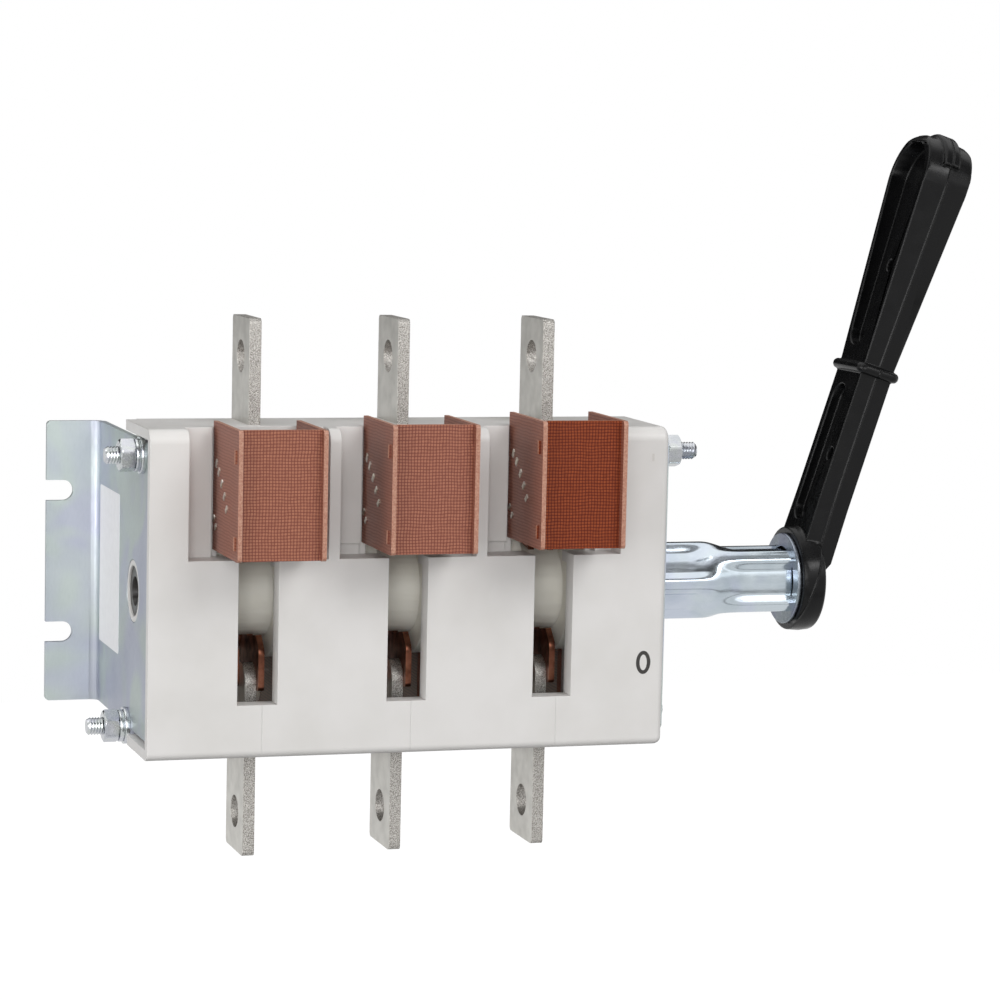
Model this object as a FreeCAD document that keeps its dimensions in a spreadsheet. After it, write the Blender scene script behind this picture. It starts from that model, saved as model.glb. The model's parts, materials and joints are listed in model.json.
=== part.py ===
import FreeCAD, Part
import Sketcher
import math
import os

os.makedirs("parts", exist_ok=True)
doc = FreeCAD.newDocument("SwitchDisconnector")
sheet = doc.addObject("Spreadsheet::Sheet", "Sizes")
nextRow = [1]


# A length that keeps both its value and its formula over the sheet's cells.
class Dim:
    def __init__(self, value, text):
        self.value = float(value)
        self.text = text

    def join(self, other, sign, flip=False):
        other = other if isinstance(other, Dim) else Dim(other, "%.6g" % other)
        a, b = (other, self) if flip else (self, other)
        value = {"+": a.value + b.value, "-": a.value - b.value, "*": a.value * b.value,
                 "/": a.value / b.value if b.value else 0.0}[sign]
        return Dim(value, "(%s %s %s)" % (a.text, sign, b.text))

    def __add__(self, other):
        return self.join(other, "+")

    def __radd__(self, other):
        return self.join(other, "+", True)

    def __sub__(self, other):
        return self.join(other, "-")

    def __rsub__(self, other):
        return self.join(other, "-", True)

    def __mul__(self, other):
        return self.join(other, "*")

    def __rmul__(self, other):
        return self.join(other, "*", True)

    def __truediv__(self, other):
        return self.join(other, "/")

    def __neg__(self):
        return self.join(-1.0, "*")


def size(alias, value, note):
    row = nextRow[0]
    nextRow[0] += 1
    sheet.set("A%d" % row, str(value))
    sheet.setAlias("A%d" % row, alias)
    sheet.set("B%d" % row, note)
    doc.recompute()
    return Dim(sheet.get(alias), "Sizes." + alias)


# Lengths in millimetres. Z = 0 is the middle height of the mounting slots, Y = 0 is the panel
# face, -Y looks out of the panel, X runs along the shaft towards the handle.
midX = size("mid_x", -1.95, "plane of the middle pole")
pitch = size("pole_pitch", 51, "distance between poles")
halfWide = size("half_width", 89.5, "moulded body, from the middle pole to each end")
frontY = size("front_y", -99, "front face of the moulded body")
backY = size("back_y", -57, "back edges of the moulded body")
topZ = size("top_z", 55, "top of the body")
baseZ = size("base_z", -54, "bottom of the body")
wall = size("wall", 3.5, "moulded wall")
frontWall = size("front_wall", 7.5, "front wall at the slots")
topRound = size("top_round", 4.5, "radius of the top front edge")
lowRound = size("low_round", 2.5, "radius of the bottom front edge")
axisY = size("axis_y", -64, "shaft axis")
axisZ = size("axis_z", -2.3, "shaft axis")
pocketLeft = size("pocket_left", 25.4, "pocket edge left of the pole plane")
pocketRight = size("pocket_right", 21.8, "pocket edge right of the pole plane")
pocketY = size("pocket_y", -89.5, "floor of the front pockets")
pocketSkin = size("pocket_skin", 3, "thickness of the pocket floor")
ledgeZ = size("ledge_z", 12, "ledge under the pockets")
slotLeft = size("slot_left", 8.5, "front slot, left of the pole plane")
slotRight = size("slot_right", 5.1, "front slot, right of the pole plane")
slotLow = size("slot_low", -36.2, "lower end of the front slots")
mouth = size("chute_mouth", 15.8, "half width of the opening behind a chute")
stepZ = size("step_z", 15.8, "top of the step under the pocket floor")
webFace = size("web_face", -87.6, "outer face of the left bracket web, from the middle pole")
sheetMetal = size("sheet_metal", 2, "bracket sheet")
webHalf = size("web_half", 49.4, "half height of the bracket webs")
webFront = size("web_front", -93, "front edge of the bracket webs")
bendInner = size("bend_inner", 3, "inside radius of the bracket bend")
flangeReach = size("flange_reach", 18.5, "flange beyond the web's outer face")
slotZ = size("fixing_z", 25, "fixing slots above and below the middle")
slotR = size("fixing_r", 3.6, "radius of the fixing slots")
slotIn = size("fixing_in", 12.7, "centre of a fixing slot beyond the web's outer face")
studR = size("stud_r", 3, "M6 stud")
studBore = size("stud_bore_r", 3.25, "clearance hole of a stud")
bossR = size("boss_r", 4.6, "moulded sleeve round a stud")
upY = size("upper_stud_y", -79, "upper tie stud")
upZ = size("upper_stud_z", 45, "upper tie stud")
loY = size("lower_stud_y", -56.2, "lower tie stud")
loZ = size("lower_stud_z", -49.2, "lower tie stud")
washerR = size("washer_r", 6.25, "flat washer")
washerT = size("washer_thick", 1.6, "flat and spring washers")
springR = size("spring_washer_r", 5.5, "spring washer")
nutFlat = size("nut_flats", 10, "across flats of an M6 nut")
nutT = size("nut_thick", 5.2, "M6 nut")
studTail = size("stud_tail", 4.6, "thread beyond the nut")
barT = size("terminal_thick", 4, "terminal bar")
barFront = size("terminal_front_y", -82, "front edge of the terminals")
barBack = size("terminal_back_y", -57, "back edge of the terminals")
barTop = size("terminal_top_z", 90.3, "top of the upper terminals")
barLow = size("terminal_low_z", -90.6, "lower end of the lower terminals")
barEnd = size("contact_gap_r", 23.1, "fixed contact end from the shaft axis")
scoopR = size("contact_scoop_r", 26, "relief of the fixed contact round the drum")
boltR = size("terminal_hole_r", 5.5, "terminal bolt hole")
boltIn = size("terminal_hole_in", 13.2, "bolt hole from the end of the bar")
knifeT = size("knife_thick", 2, "moving contact plate")
knifeGap = size("knife_gap", 0.05, "sliding clearance at the contacts")
knifeFront = size("knife_front", 20.4, "front edge of the right plate, before the axis")
knifeSet = size("knife_set_back", 9.6, "front edge of the left plate, before the axis")
knifeBack = size("knife_back", 7, "back edge of the plates, behind the axis")
knifeLong = size("knife_half_length", 31.9, "half length of the plates")
waist = size("knife_waist", 3, "waist of the plates in the drum, before the axis")
shoulder = size("knife_shoulder_z", 13.5, "shoulder of the plates from the axis")
drumR = size("drum_r", 15.4, "insulating drum")
flangeR = size("drum_flange_r", 23, "barrier discs of the drum")
flangeIn = size("drum_flange_in", 8, "barrier disc from the pole plane")
flangeT = size("drum_flange_thick", 4.5, "barrier disc")
journalR = size("journal_r", 12, "drum journals")
endR = size("end_journal_r", 8.5, "left end journal")
running = size("running_clearance", 0.06, "radial clearance of the bearings")
sideGap = size("side_gap", 0.4, "drum to barrier wall")
tenon = size("tenon_flats", 11, "square couplings between drums")
fitGap = size("tenon_clearance", 0.05, "each side of a coupling")
squareAf = size("square_flats", 15.8, "square drive ends inside the tube")
tubeR = size("tube_r", 13.5, "drive tube")
tubeWall = size("tube_wall", 2, "drive tube")
fluteAt = size("flute_distance", 24, "axis of the crimping groove from the shaft axis")
fluteR = size("flute_r", 14, "radius of the crimping groove")
fluteRise = size("flute_rise", 3.8, "rise of the groove's floor in its run-out")
fluteRamp = size("flute_ramp", 9, "length of the groove's run-out")
tubeLow = size("tube_start", 79, "left end of the tube, from the middle pole")
tubeEnd = size("tube_end", 145.8, "right end of the tube, from the middle pole")
leftFlute = size("left_flute_end", 110.5, "full depth of the left grooves ends here")
rightFlute = size("right_flute_start", 137, "full depth of the right grooves starts here")
discR = size("handle_disc_r", 16.1, "washer disc under the handle")
discT = size("handle_disc_thick", 1.6, "washer disc")
hubR = size("hub_r", 18.6, "handle hub")
draft = size("draft", 5, "moulding draft of the handle, degrees")
beadHigh = size("bead_high", 1.3, "bead over the handle's end")
beadHalf = size("bead_half_width", 3.2, "bead over the handle's end")
hubT = size("hub_thick", 8.6, "handle hub")
lean = size("handle_lean", 18, "outward lean of the handle, degrees")
armHalf = size("arm_half_width", 11.2, "half width of the lower arm")
armTip = size("arm_tip_r", 16, "round end of the arm")
armLong = size("arm_length", 148, "hub centre to the centre of the round end")
armThin = size("arm_thin", 12, "thickness of the lower arm")
armThick = size("arm_thick", 17.6, "thickness of the round end")
collarAt = size("collar_at", 77.6, "collar from the hub centre")
collarT = size("collar_high", 3.6, "collar")
collarOut = size("collar_out", 2.3, "collar beyond the arm")
chuteHalf = size("chute_half", 14.75, "outer half width of a chute")
lamT = size("laminate", 1.5, "laminate plates")
postT = size("rear_post_thick", 3.5, "posts that hold a rear chute")
postFront = size("rear_post_front_y", -66, "front of those posts")
postBack = size("rear_post_back_y", -48, "back of those posts")
postTop = size("rear_post_top_z", -20, "top of those posts")
footY = size("rear_foot_y", -60, "front edges of the rear side plates, above the lower stud")
footZ = size("rear_foot_z", -44.2, "lower edge of that foot")
footBack = size("rear_foot_back_y", -50, "where the foot ends")
chuteBack = size("chute_back_y", -86.5, "back edges of the side plates")
chuteFront = size("chute_front_y", -123.5, "front edges of the side plates")
chuteLow = size("chute_low_z", 15.9, "lower edge of a chute")
chuteTop = size("chute_top_z", 58.4, "upper edge of a chute")
frontSet = size("front_plate_set", 2.6, "front plate behind the side plates' edges")
tabLow = size("tab_low_z", 19.4, "lower tab of the front plate")
tabHigh = size("tab_high_z", 47.4, "upper tab of the front plate")
tabLong = size("tab_height", 4.5, "tab height")
splitT = size("splitter_thick", 1.5, "splitter plate")
splitIn = size("splitter_in_r", 36, "inner end of the splitters")
splitOut = size("splitter_out_r", 58, "outer end of the splitters")
notchR = size("splitter_notch_r", 44, "bottom of the splitter notch")
notchHalf = size("splitter_notch_half", 7, "half width of the splitter notch")
lifts = [size("chute_lift_left", -1.5, "height of the left chute over the middle one"),
         size("chute_lift_middle", 0, "middle chute"),
         size("chute_lift_right", 1, "right chute")]
splitAngles = [size("splitter_angle_" + word, angle, "forward from the vertical, degrees")
               for word, angle in (("one", 31), ("two", 35.6), ("three", 41.4), ("four", 46.9), ("five", 52.2))]

poles = [midX - pitch, midX + 0.0, midX + pitch]
leftEnd = midX - halfWide
rightEnd = midX + halfWide
eps = 1.0


def bind(thing, prop, value):
    if isinstance(value, Dim):
        thing.setExpression(prop, value.text)
    else:
        thing.setExpression(prop, "%.6g" % value)


def put(thing, x, y, z):
    bind(thing, "Placement.Base.x", x)
    bind(thing, "Placement.Base.y", y)
    bind(thing, "Placement.Base.z", z)
    return thing


def block(name, x0, x1, y0, y1, z0, z1):
    box = doc.addObject("Part::Box", name)
    bind(box, "Length", x1 - x0)
    bind(box, "Width", y1 - y0)
    bind(box, "Height", z1 - z0)
    return put(box, x0, y0, z0)


# A cylinder along X.
def rod(name, r, x0, x1, y, z):
    bar = doc.addObject("Part::Cylinder", name)
    bind(bar, "Radius", r)
    bind(bar, "Height", x1 - x0)
    bar.Placement.Rotation = FreeCAD.Rotation(FreeCAD.Vector(0, 1, 0), 90)
    return put(bar, x0, y, z)


def plus(name, *things):
    fuse = doc.addObject("Part::MultiFuse", name)
    fuse.Shapes = list(things)
    fuse.Refine = True
    return fuse


def minus(name, base, *tools):
    cut = doc.addObject("Part::Cut", name)
    cut.Base = base
    cut.Tool = tools[0] if len(tools) == 1 else plus(name + "_tools", *tools)
    cut.Refine = True
    return cut


def common(name, first, second):
    both = doc.addObject("Part::Common", name)
    both.Base = first
    both.Tool = second
    return both


def together(name, *things):
    group = doc.addObject("Part::Compound", name)
    group.Links = list(things)
    return group


def ringAt(name, r, hole, x0, x1, y, z):
    return minus(name, rod(name + "_o", r, x0, x1, y, z), rod(name + "_i", hole, x0 - eps, x1 + eps, y, z))


# Rounds the edges of base for which pick(edge) holds; picks = [(pick, radius)].
def rounded(name, base, picks):
    doc.recompute()
    fillet = doc.addObject("Part::Fillet", name)
    fillet.Base = base
    edges = []
    for i, edge in enumerate(base.Shape.Edges):
        for pick, r in picks:
            if pick(edge):
                value = r.value if isinstance(r, Dim) else r
                edges.append((i + 1, value, value))
                break
    fillet.Edges = edges
    return fillet


def alongX(edge, y, z, tol=0.02):
    if not isinstance(edge.Curve, Part.Line):
        return False
    a, b = edge.Vertexes[0].Point, edge.Vertexes[-1].Point
    return (abs(a.y - b.y) < tol and abs(a.z - b.z) < tol and abs(a.y - y) < tol and abs(a.z - z) < tol
            and abs(a.x - b.x) > tol)


def alongY(edge, x, z, tol=0.02):
    if not isinstance(edge.Curve, Part.Line):
        return False
    a, b = edge.Vertexes[0].Point, edge.Vertexes[-1].Point
    return (abs(a.x - b.x) < tol and abs(a.z - b.z) < tol and abs(a.x - x) < tol and abs(a.z - z) < tol
            and abs(a.y - b.y) > tol)


def alongZ(edge, x, y, tol=0.02):
    if not isinstance(edge.Curve, Part.Line):
        return False
    a, b = edge.Vertexes[0].Point, edge.Vertexes[-1].Point
    return (abs(a.x - b.x) < tol and abs(a.y - b.y) < tol and abs(a.x - x) < tol and abs(a.y - y) < tol
            and abs(a.z - b.z) > tol)


def plane(body, role):
    return [f for f in body.Origin.OriginFeatures if f.Role == role][0]


# A line, or an arc about a centre at the given height, between two corners of a loop. A sketch
# keeps its arcs anticlockwise, so a clockwise one is stored from its far end.
def segment(corner, following):
    p = FreeCAD.Vector(number(corner[0]), number(corner[1]), 0)
    q = FreeCAD.Vector(number(following[0]), number(following[1]), 0)
    if len(corner) == 2:
        return Part.LineSegment(p, q), 1, 2
    v = number(corner[2])
    u = (q.x ** 2 - p.x ** 2 + (q.y - v) ** 2 - (p.y - v) ** 2) / (2 * (q.x - p.x))
    centre = FreeCAD.Vector(u, v, 0)
    circle = Part.Circle(centre, FreeCAD.Vector(0, 0, 1), (p - centre).Length)
    start, stop = [math.atan2(w.y - v, w.x - u) for w in (p, q)]
    if corner[3] > 0:
        return Part.ArcOfCircle(circle, start, stop + (2 * math.pi if stop < start else 0)), 1, 2
    return Part.ArcOfCircle(circle, stop, start + (2 * math.pi if start < stop else 0)), 2, 1


# A sketch on an origin plane. Each loop is ("ring", u, v, r) or a list of corners (u, v). A corner
# (u, v, centre height, turn) starts an arc, anticlockwise where turn is 1.
def sketch(body, name, role, offset, loops):
    sk = body.newObject("Sketcher::SketchObject", name)
    sk.AttachmentSupport = [(plane(body, role), "")]
    sk.MapMode = "FlatFace"
    bind(sk, "AttachmentOffset.Base.z", offset)
    names = []
    for loop in loops:
        if loop[0] == "ring":
            u, v, r = loop[1:]
            n = sk.addGeometry(Part.Circle(FreeCAD.Vector(number(u), number(v), 0), FreeCAD.Vector(0, 0, 1),
                                           number(r)), False)
            names.append((sk.addConstraint(Sketcher.Constraint("Radius", n, number(r))), r))
            names.append((sk.addConstraint(Sketcher.Constraint("DistanceX", -1, 1, n, 3, number(u))), u))
            names.append((sk.addConstraint(Sketcher.Constraint("DistanceY", -1, 1, n, 3, number(v))), v))
            continue
        drawn = []
        for i, corner in enumerate(loop):
            shape, start, stop = segment(corner, loop[(i + 1) % len(loop)])
            drawn.append((sk.addGeometry(shape, False), start, stop))
        for i, (n, start, stop) in enumerate(drawn):
            after, head, tail = drawn[(i + 1) % len(drawn)]
            sk.addConstraint(Sketcher.Constraint("Coincident", n, stop, after, head))
            u, v = loop[i][:2]
            names.append((sk.addConstraint(Sketcher.Constraint("DistanceX", -1, 1, n, start, number(u))), u))
            names.append((sk.addConstraint(Sketcher.Constraint("DistanceY", -1, 1, n, start, number(v))), v))
            if len(loop[i]) > 2:
                v = loop[i][2]
                names.append((sk.addConstraint(Sketcher.Constraint("DistanceY", -1, 1, n, 3, number(v))), v))
    for index, value in names:
        if isinstance(value, Dim):
            sk.setExpression("Constraints[%d]" % index, value.text)
    return sk


def number(value):
    return value.value if isinstance(value, Dim) else float(value)


# A padded plate between low and high along the plane's normal.
def plate(name, role, low, high, loops):
    body = doc.addObject("PartDesign::Body", name)
    sk = sketch(body, name + "_outline", role, low, loops)
    pad = body.newObject("PartDesign::Pad", name + "_pad")
    pad.Profile = sk
    bind(pad, "Length", high - low)
    body.Tip = pad
    doc.recompute()
    return body


# Removes the loops between low and high along the plane's normal.
def pocket(body, name, role, low, high, loops):
    before = body.Shape.Volume
    sk = sketch(body, name + "_outline", role, high, loops)
    cut = body.newObject("PartDesign::Pocket", name)
    cut.Profile = sk
    bind(cut, "Length", high - low)
    cut.Reversed = False
    body.Tip = cut
    doc.recompute()
    if body.Shape.Volume > before - 1e-3:
        raise SystemExit("pocket %s removed nothing" % name)
    return body


# Fillets in a body, one per radius.
def roundEdges(body, name, picks):
    for k, (pick, r) in enumerate(picks):
        doc.recompute()
        tip = body.Tip
        names = ["Edge%d" % (i + 1) for i, edge in enumerate(tip.Shape.Edges) if pick(edge)]
        if not names:
            raise SystemExit("no edge to round for %s" % name)
        fillet = body.newObject("PartDesign::Fillet", "%s_%d" % (name, k))
        fillet.Base = (tip, names)
        bind(fillet, "Radius", r)
        body.Tip = fillet
    doc.recompute()
    return body


nodes = []


def node(label, thing):
    thing.Label = label
    nodes.append(thing)
    return thing


# Moulded body: four sections that meet on the pole planes. This is all that one pole removes from
# a section between X = low and X = high.
def poleCuts(tag, pole, low, high, stepped):
    left, right = pole - pocketLeft, pole + pocketRight
    x0 = left if number(left) > number(low) else low - eps
    x1 = right if number(right) < number(high) else high + eps
    ledge = ledgeZ - wall
    floorIn = pocketY + pocketSkin
    tools = [
        block(tag + "_pocket", x0, x1, frontY - eps, pocketY, ledgeZ, topZ + eps),
        block(tag + "_low_cavity", x0, x1, frontY + frontWall, backY + eps, baseZ + wall, ledge),
        block(tag + "_high_cavity", x0, x1, floorIn, backY + eps, ledge - 0.5, topZ - wall),
    ]
    a = pole - mouth if number(pole - mouth) > number(low) else low - eps
    b = pole + mouth if number(pole + mouth) < number(high) else high + eps
    tools.append(block(tag + "_mouth", a, b, pocketY - eps, floorIn + 0.5, ledgeZ - 0.01, topZ + eps))
    a = pole - slotLeft if number(pole - slotLeft) > number(low) else low - eps
    b = pole + slotRight if number(pole + slotRight) < number(high) else high + eps
    tools.append(block(tag + "_slot", a, b, frontY - eps, floorIn + eps, slotLow, ledgeZ + 0.5))
    a = pole - barT / 2.0 if number(pole - barT / 2.0) > number(low) else low - eps
    b = pole + barT / 2.0 if number(pole + barT / 2.0) < number(high) else high + eps
    tools.append(block(tag + "_bars", a, b, barFront, backY + eps, baseZ - eps, topZ + eps))
    if stepped and number(left) > number(low):
        tools.append(block(tag + "_step", left, pole - mouth + 0.5, pocketY - eps, pocketY + 2.0,
                           ledgeZ, stepZ))
    return tools


# Posts behind the pocket floor, on which the front chute's side plates stand, and posts on the
# bottom wall, which hold the rear chute's.
def guides(tag, pole, low, high):
    posts = []
    floorIn = pocketY + pocketSkin
    for word, turn in (("l", -1), ("r", 1)):
        if number(pole) == number(low if turn < 0 else high):
            continue
        a, b = pole + (chuteHalf - lamT) * turn, pole + (mouth + 2.5) * turn
        c, d = pole + chuteHalf * turn, pole + (chuteHalf + postT) * turn
        if turn < 0:
            a, b, c, d = b, a, d, c
        tag = "%s_%s" % (tag, word)
        posts.append(block(tag + "_post", a, b, floorIn, floorIn + 3.5, ledgeZ - wall, topZ - wall))
        posts.append(block(tag + "_hold", c, d, postFront, postBack, baseZ + wall - 0.5, postTop))
    return posts


def section(label, low, high, polesIn, leftCap=False, rightCap=False):
    outer = block(label + "_block", low, high, frontY, backY, baseZ, topZ)
    picks = [(lambda e: alongX(e, number(frontY), number(topZ)), topRound),
             (lambda e: alongX(e, number(frontY), number(baseZ)), lowRound)]
    if rightCap:
        picks.append((lambda e: alongY(e, number(high), number(baseZ)), 2.5))
        picks.append((lambda e: alongZ(e, number(high), number(frontY)), 2.0))
        picks.append((lambda e: alongY(e, number(high), number(topZ)), 2.0))
    outer = rounded(label + "_round", outer, picks)
    tools = []
    adds = []
    for k in polesIn:
        tag = "%s_p%d" % (label, k)
        tools += poleCuts(tag, poles[k], low, high, k > 0)
        adds += guides(tag, poles[k], low, high)
    if rightCap:
        tools.append(block(label + "_end_room", poles[2] + pocketRight + 3.8, high - 4.0, frontY + wall,
                           backY + eps, baseZ + wall, topZ - wall))
        tools.append(rod(label + "_tube_hole", tubeR + 0.6, high - 5.0, high + eps, axisY, axisZ))
        tools.append(rod(label + "_bore", journalR + running, poles[2] + pocketRight - eps,
                         poles[2] + pocketRight + 4.5, axisY, axisZ))
    elif leftCap:
        rimIn = midX + webFace + sheetMetal
        tools.append(block(label + "_rim", low - eps, rimIn, frontY + wall, backY + eps, baseZ + wall,
                           topZ - wall))
        tools.append(block(label + "_rim_top", low - eps, rimIn, frontY + 40, backY + eps, baseZ + 60,
                           topZ + eps))
        tools.append(block(label + "_rim_low", low - eps, rimIn, frontY + 33, backY + eps, baseZ - eps,
                           baseZ + 20))
        tools.append(rod(label + "_bore", journalR + running, poles[0] - pocketLeft - 2.6,
                         poles[0] - pocketLeft + eps, axisY, axisZ))
        tools.append(rod(label + "_end_bore", endR + running, rimIn - 3, poles[0] - pocketLeft, axisY, axisZ))
        adds.append(rod(label + "_collar", 10.45, rimIn - sheetMetal + 0.2, rimIn + 1, axisY, axisZ))
    if len(polesIn) > 1:
        rib = poles[polesIn[0]] + pocketRight
        tools.append(rod(label + "_rib_bore", journalR + running, rib - eps, rib + 3.8 + eps, axisY, axisZ))
    shell = minus(label + "_shell", outer, *tools)
    # sleeves round the studs, standing proud of the back edge at the lower one
    start = midX + webFace + sheetMetal if leftCap else low
    sleeves = [rod(label + "_sleeve_up", bossR, start, high, upY, upZ),
               rod(label + "_sleeve_low", bossR, start, high, loY, loZ),
               block(label + "_sleeve_web", start, high, loY - bossR, loY, baseZ, loZ + 1.5)]
    solid = plus(label + "_body", shell, *(adds + sleeves))
    holes = [rod(label + "_hole_up", studBore, low - eps, high + eps, upY, upZ),
             rod(label + "_hole_low", studBore, low - eps, high + eps, loY, loZ)]
    if leftCap:
        holes.append(rod(label + "_journal", endR + running, rimIn - 4, poles[0] - pocketLeft, axisY, axisZ))
    spans = []
    for k in polesIn:
        # the bar's own recess runs through the sleeves' web, and the bare sleeve goes back in it
        a = poles[k] - barT / 2.0 if number(poles[k] - barT / 2.0) > number(low) else low
        b = poles[k] + barT / 2.0 if number(poles[k] + barT / 2.0) < number(high) else high
        spans.append((k, a, b))
        holes.append(block("%s_p%d_seat" % (label, k), a if a is not low else low - eps,
                           b if b is not high else high + eps, barFront, backY + 6.0, baseZ - eps, topZ + eps))
    keep = minus(label + "_bored", solid, *holes)
    rings = [ringAt("%s_p%d_ring_%s" % (label, k, word), bossR, studBore, a, b, y, z)
             for k, a, b in spans for word, y, z in (("up", upY, upZ), ("low", loY, loZ))]
    keep = plus(label + "_joined", keep, *rings)
    return node(label, keep)


section("left_end_housing", leftEnd, poles[0], [0], leftCap=True)
section("middle_housing_left", poles[0], poles[1], [0, 1])
section("middle_housing_right", poles[1], poles[2], [1, 2])
section("right_end_housing", poles[2], rightEnd, [2], rightCap=True)


# Mounting brackets, folded from sheet, with a flange that runs out to -X (out = -1) or +X (out = 1).
def bracket(label, outerFace, out, tubeHole):
    inner = outerFace - out * sheetMetal
    body = doc.addObject("PartDesign::Body", label)
    tip = outerFace + out * flangeReach
    loop = [(tip, 0), (inner, 0), (inner, webFront), (outerFace, webFront), (outerFace, -sheetMetal),
            (tip, -sheetMetal)]
    sk = sketch(body, label + "_fold", "XY_Plane", -webHalf, [loop])
    pad = body.newObject("PartDesign::Pad", label + "_sheet")
    pad.Profile = sk
    bind(pad, "Length", webHalf * 2)
    body.Tip = pad
    roundEdges(body, label + "_bend", [
        (lambda e: alongZ(e, number(outerFace), -number(sheetMetal)), bendInner),
        (lambda e: alongZ(e, number(inner), 0), bendInner + sheetMetal)])
    roundEdges(body, label + "_corner", [
        (lambda e: alongY(e, number(tip), number(webHalf)) or alongY(e, number(tip), -number(webHalf))
         or alongX(e, number(webFront), number(webHalf)) or alongX(e, number(webFront), -number(webHalf)), 1.5)])
    low, high = (inner, outerFace) if out > 0 else (outerFace, inner)
    # ears under the washers that reach past the sheet's edge
    ears = body.newObject("PartDesign::Pad", label + "_ear")
    ears.Profile = sketch(body, label + "_ear_outline", "YZ_Plane", low, [("ring", loY, loZ, 6.0)])
    bind(ears, "Length", high - low)
    body.Tip = ears
    doc.recompute()
    pocket(body, label + "_stud_holes", "YZ_Plane", low - eps, high + eps,
           [("ring", upY, upZ, studBore), ("ring", loY, loZ, studBore)])
    pocket(body, label + "_shaft_hole", "YZ_Plane", low - eps, high + eps, [("ring", axisY, axisZ, tubeHole)])
    centre = outerFace + out * slotIn
    edge = tip + out * 2.0
    pocket(body, label + "_slot_ends", "XZ_Plane", -eps, sheetMetal + eps,
           [("ring", centre, slotZ, slotR), ("ring", centre, -slotZ, slotR)])
    loops = []
    for z in (slotZ, -slotZ):
        loops.append([(centre, z - slotR), (edge, z - slotR), (edge, z + slotR), (centre, z + slotR)])
    pocket(body, label + "_slot_mouths", "XZ_Plane", -eps, sheetMetal + eps, loops)
    return node(label, body)


bracket("left_mounting_bracket", midX + webFace, -1, size("left_web_hole_r", 10.65, "collar hole in the left web"))
bracket("right_mounting_bracket", rightEnd + sheetMetal, 1, tubeR + 0.8)


# Tie studs with washers and nuts.
leftWeb = midX + webFace
rightWeb = rightEnd + sheetMetal
stack = washerT * 2 + nutT
node("tie_studs", together(
    "studs", rod("stud_up", studR, leftWeb - stack - studTail, rightWeb + stack + studTail + 1.6, upY, upZ),
    rod("stud_low", studR, leftWeb - stack - studTail - 0.9, rightWeb + stack + studTail, loY, loZ)))
spots = [(upY, upZ, "up"), (loY, loZ, "low")]


def nutAt(name, x0, y, z, turn):
    prism = doc.addObject("Part::Prism", name + "_hex")
    prism.Polygon = 6
    bind(prism, "Circumradius", nutFlat / 1.7320508)
    bind(prism, "Height", nutT)
    prism.Placement.Rotation = FreeCAD.Rotation(FreeCAD.Vector(0, 1, 0), 90).multiply(
        FreeCAD.Rotation(FreeCAD.Vector(0, 0, 1), turn))
    put(prism, x0, y, z)
    return minus(name, prism, rod(name + "_bore", studR + 0.02, x0 - eps, x0 + nutT + eps, y, z))


flat, spring, nuts = [], [], []
for y, z, word in spots:
    for side, face in ((-1, leftWeb), (1, rightWeb)):
        tag = "%s_%s" % (word, "l" if side < 0 else "r")
        a, b = (face - washerT, face) if side < 0 else (face, face + washerT)
        flat.append(ringAt("flat_" + tag, washerR, studR + 0.2, a, b, y, z))
        a, b = (a - washerT, a) if side < 0 else (b, b + washerT)
        ring = ringAt("spring_" + tag, springR, studR + 0.1, a, b, y, z)
        gap = block("spring_gap_" + tag, a - eps, b + eps, y - 0.5, y + 0.5, z, z + springR + eps)
        spring.append(minus("spring_split_" + tag, ring, gap))
        a, b = (a - nutT, a) if side < 0 else (b, b + nutT)
        nuts.append(nutAt("nut_" + tag, a, y, z, 12 if word == "up" else 4))
node("flat_washers", together("flats", *flat))
node("spring_washers", together("springs", *spring))
node("tie_nuts", together("hexes", *nuts))


# Terminals: upright bars held between two sections, keyed by the stud sleeves.
def terminal(label, pole, up):
    low, high = pole - barT / 2.0, pole + barT / 2.0
    tip = barTop if up else barLow
    sign = 1 if up else -1
    inner = axisZ + sign * barEnd
    loop = [(barFront, inner), (barBack, inner), (barBack, tip), (barFront, tip)]
    body = plate(label, "YZ_Plane", low, high, [loop])
    roundEdges(body, label + "_round", [
        (lambda e: alongX(e, number(barFront), number(inner)), 7.0),
        (lambda e: alongX(e, number(barFront), number(tip)) or alongX(e, number(barBack), number(tip)), 1.6)])
    pocket(body, label + "_hole", "YZ_Plane", low - eps, high + eps,
           [("ring", (barFront + barBack) / 2.0, tip - sign * boltIn, boltR)])
    pocket(body, label + "_relief", "YZ_Plane", low - eps, high + eps, [("ring", axisY, axisZ, scoopR)])
    # rounded notch for the stud sleeve
    y, z = (upY, upZ) if up else (loY, loZ)
    pocket(body, label + "_key", "YZ_Plane", low - eps, high + eps, [("ring", y, z, bossR)])
    if up:
        # the notch runs out of the front edge
        pocket(body, label + "_key_mouth", "YZ_Plane", low - eps, high + eps,
               [[(barFront - 2, z - bossR), (y, z - bossR), (y, z + bossR), (barFront - 2, z + bossR)]])
    return node(label, body)


for k, word in enumerate(("one", "two", "three")):
    terminal("upper_terminal_" + word, poles[k], True)
for k, word in enumerate(("one", "two", "three")):
    terminal("lower_terminal_" + word, poles[k], False)


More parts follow.
